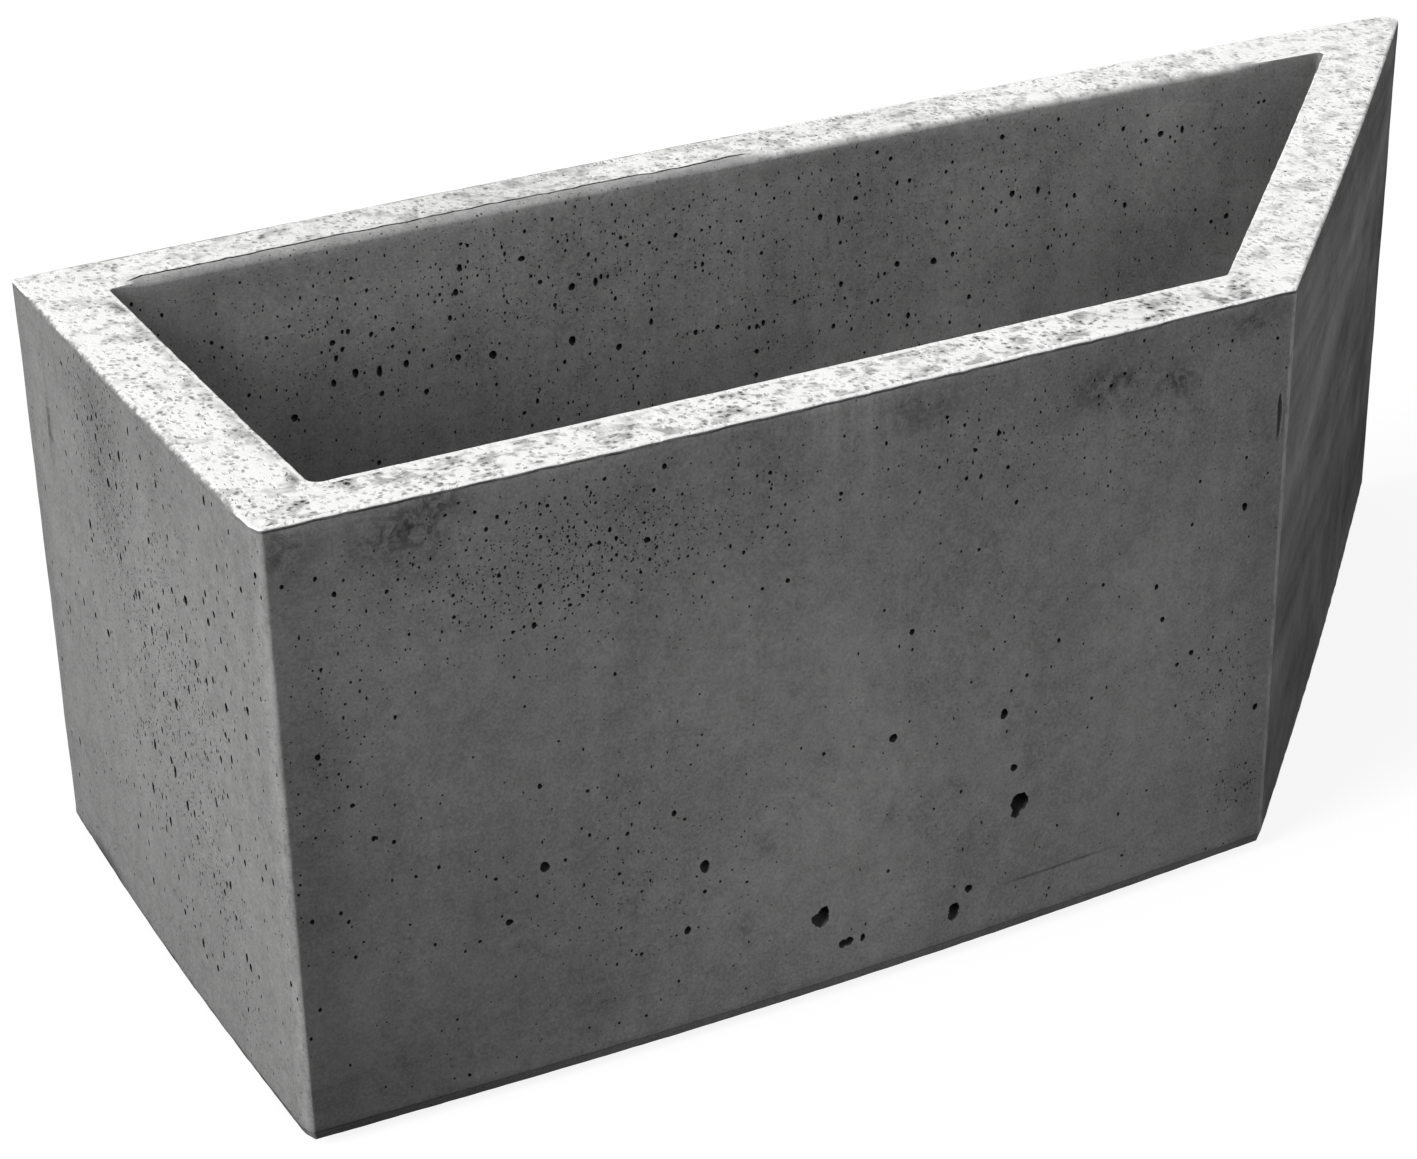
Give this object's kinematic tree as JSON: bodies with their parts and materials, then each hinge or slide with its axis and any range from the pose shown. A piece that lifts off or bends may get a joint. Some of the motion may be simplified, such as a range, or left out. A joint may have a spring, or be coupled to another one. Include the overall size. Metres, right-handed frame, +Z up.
{
  "type": "concrete planter",
  "caption": "Open rectangular concrete trough for plants, with one end cut at 45 degrees in plan, drain plugs in the floor and rubber feet.",
  "frame": {"origin": "on the ground, at the centre of the outer box in plan", "axes": "+X along the long walls towards the mitred end, +Y from the short front wall to the long back wall, +Z up"},
  "size_m": [0.8972, 0.35, 0.33],
  "materials": {
    "wall_concrete": "form-cast grey concrete with air holes, rough and pale on the rim",
    "base_concrete": "form-cast grey concrete with air holes",
    "bar_steel": "rolled, lightly rusted",
    "sleeve_plastic": "smooth",
    "plug_rubber": "matt",
    "foot_rubber": "matt"
  },
  "bodies": {
    "planter": {"base_slab": "base_concrete", "wall_ring": "wall_concrete", "hoop_low": "bar_steel", "hoop_mid": "bar_steel", "hoop_top": "bar_steel", "cross_bar_1": "bar_steel", "cross_bar_2": "bar_steel", "cross_bar_3": "bar_steel", "cross_bar_4": "bar_steel", "cross_bar_5": "bar_steel", "long_bar_front": "bar_steel", "long_bar_back": "bar_steel", "drain_sleeve_left": "sleeve_plastic", "drain_sleeve_right": "sleeve_plastic", "foot_front_left": "foot_rubber", "foot_front_right": "foot_rubber", "foot_back_left": "foot_rubber", "foot_back_middle": "foot_rubber", "foot_back_right": "foot_rubber"},
    "left_plug": {"drain_plug_left": "plug_rubber"},
    "right_plug": {"drain_plug_right": "plug_rubber"}
  },
  "joints": [
    {"name": "left_plug_lift", "type": "slide", "parent": "planter", "child": "left_plug", "axis": [0, 0, 1], "range_m": [0, 0.04]},
    {"name": "right_plug_lift", "type": "slide", "parent": "planter", "child": "right_plug", "axis": [0, 0, 1], "range_m": [0, 0.04]}
  ]
}
